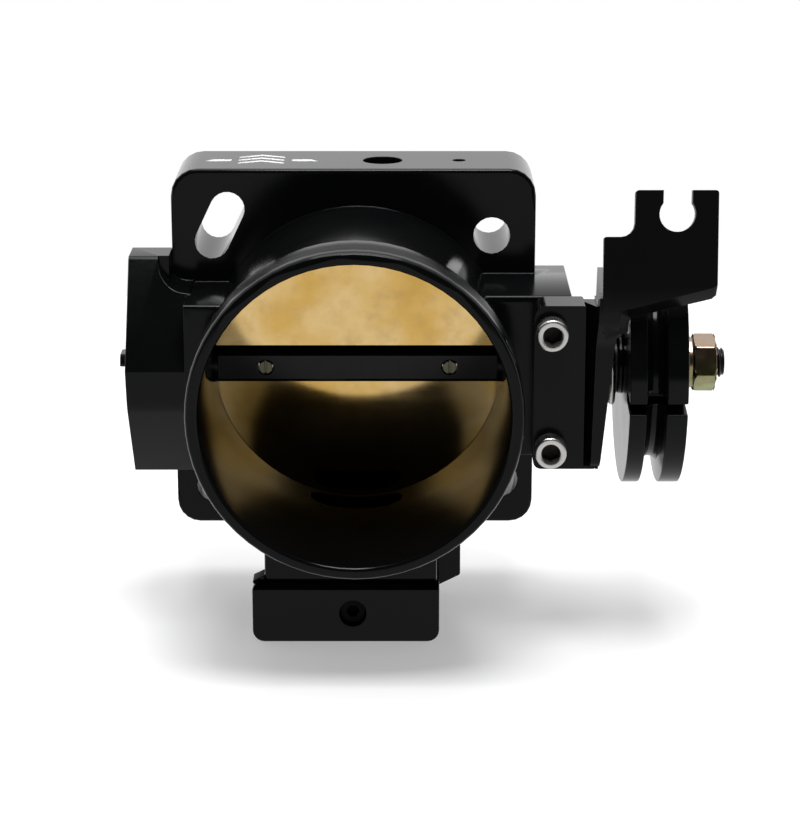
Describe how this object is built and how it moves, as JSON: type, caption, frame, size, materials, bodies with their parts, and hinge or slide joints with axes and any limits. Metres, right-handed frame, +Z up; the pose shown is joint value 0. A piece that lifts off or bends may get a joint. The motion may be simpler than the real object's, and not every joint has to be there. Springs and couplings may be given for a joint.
{
  "type": "throttle body",
  "caption": "Black cable-operated throttle body with a round air intake, a brass butterfly plate on a cross shaft, a grooved cable cam and a square flange.",
  "frame": {"origin": "point on the idle air pad's resting face, straight below the crossing of the shaft axis and the bore axis", "axes": "+Z up, +Y along the bore towards the engine, +X along the throttle shaft towards the cable cam; the axes cross 69.3 mm above the origin"},
  "size_m": [0.1557, 0.093, 0.1205],
  "materials": {
    "black_aluminium": "satin black anodised machined aluminium",
    "black_steel": "satin black coated sheet steel",
    "shaft_black": "black oxide steel",
    "brass": "mottled semi-polished brass",
    "bright_steel": "bright machined steel",
    "spring_steel": "drawn spring wire",
    "yellow_zinc": "yellow passivated zinc plating",
    "rubber": "black nitrile rubber",
    "nylon": "black nylon"
  },
  "bodies": {
    "housing": {"throttle_housing": "black_aluminium", "cable_bracket": "black_steel", "bracket_screw_upper": "bright_steel", "bracket_screw_lower": "bright_steel", "tps_bearing_outer_ring": "bright_steel", "cam_bearing_outer_ring": "bright_steel", "tps_shaft_seal": "rubber", "cam_shaft_seal": "rubber", "tps_retaining_ring": "spring_steel", "cam_retaining_ring": "spring_steel", "return_spring": "spring_steel", "idle_port_plug": "black_aluminium", "idle_stop_nut": "bright_steel"},
    "throttle": {"throttle_shaft": "shaft_black", "throttle_plate": "brass", "plate_screw_left": "bright_steel", "plate_screw_right": "bright_steel", "tps_bearing_inner_ring": "bright_steel", "cam_bearing_inner_ring": "bright_steel", "spring_bush": "nylon", "throttle_cam": "black_aluminium", "cam_washer": "yellow_zinc", "cam_nut": "yellow_zinc"},
    "tps_balls": {"tps_bearing_cage": "spring_steel", "tps_bearing_ball_1": "bright_steel", "tps_bearing_ball_2": "bright_steel", "tps_bearing_ball_3": "bright_steel", "tps_bearing_ball_4": "bright_steel", "tps_bearing_ball_5": "bright_steel", "tps_bearing_ball_6": "bright_steel", "tps_bearing_ball_7": "bright_steel", "tps_bearing_ball_8": "bright_steel", "tps_bearing_ball_9": "bright_steel"},
    "cam_balls": {"cam_bearing_cage": "spring_steel", "cam_bearing_ball_1": "bright_steel", "cam_bearing_ball_2": "bright_steel", "cam_bearing_ball_3": "bright_steel", "cam_bearing_ball_4": "bright_steel", "cam_bearing_ball_5": "bright_steel", "cam_bearing_ball_6": "bright_steel", "cam_bearing_ball_7": "bright_steel", "cam_bearing_ball_8": "bright_steel", "cam_bearing_ball_9": "bright_steel"},
    "stop_screw": {"idle_stop_screw": "bright_steel"}
  },
  "joints": [
    {"name": "throttle_opening", "type": "hinge", "parent": "housing", "child": "throttle", "pos_m": [0, 0, 0.0693], "axis": [1, 0, 0], "range_deg": [0, 82], "stiffness_Nm_per_rad": 0.4},
    {"name": "tps_ball_orbit", "type": "hinge", "parent": "housing", "child": "tps_balls", "pos_m": [-0.0538, 0, 0.0693], "axis": [1, 0, 0], "range_deg": [0, 35]},
    {"name": "cam_ball_orbit", "type": "hinge", "parent": "housing", "child": "cam_balls", "pos_m": [0.0493, 0, 0.0693], "axis": [1, 0, 0], "range_deg": [0, 35]},
    {"name": "idle_stop_adjust", "type": "slide", "parent": "housing", "child": "stop_screw", "axis": [0, 0, -1], "range_m": [0, 0.003]}
  ],
  "couplings": [
    {"joint": "tps_ball_orbit", "follows": "throttle_opening", "ratio": 0.4179},
    {"joint": "cam_ball_orbit", "follows": "throttle_opening", "ratio": 0.4179}
  ]
}
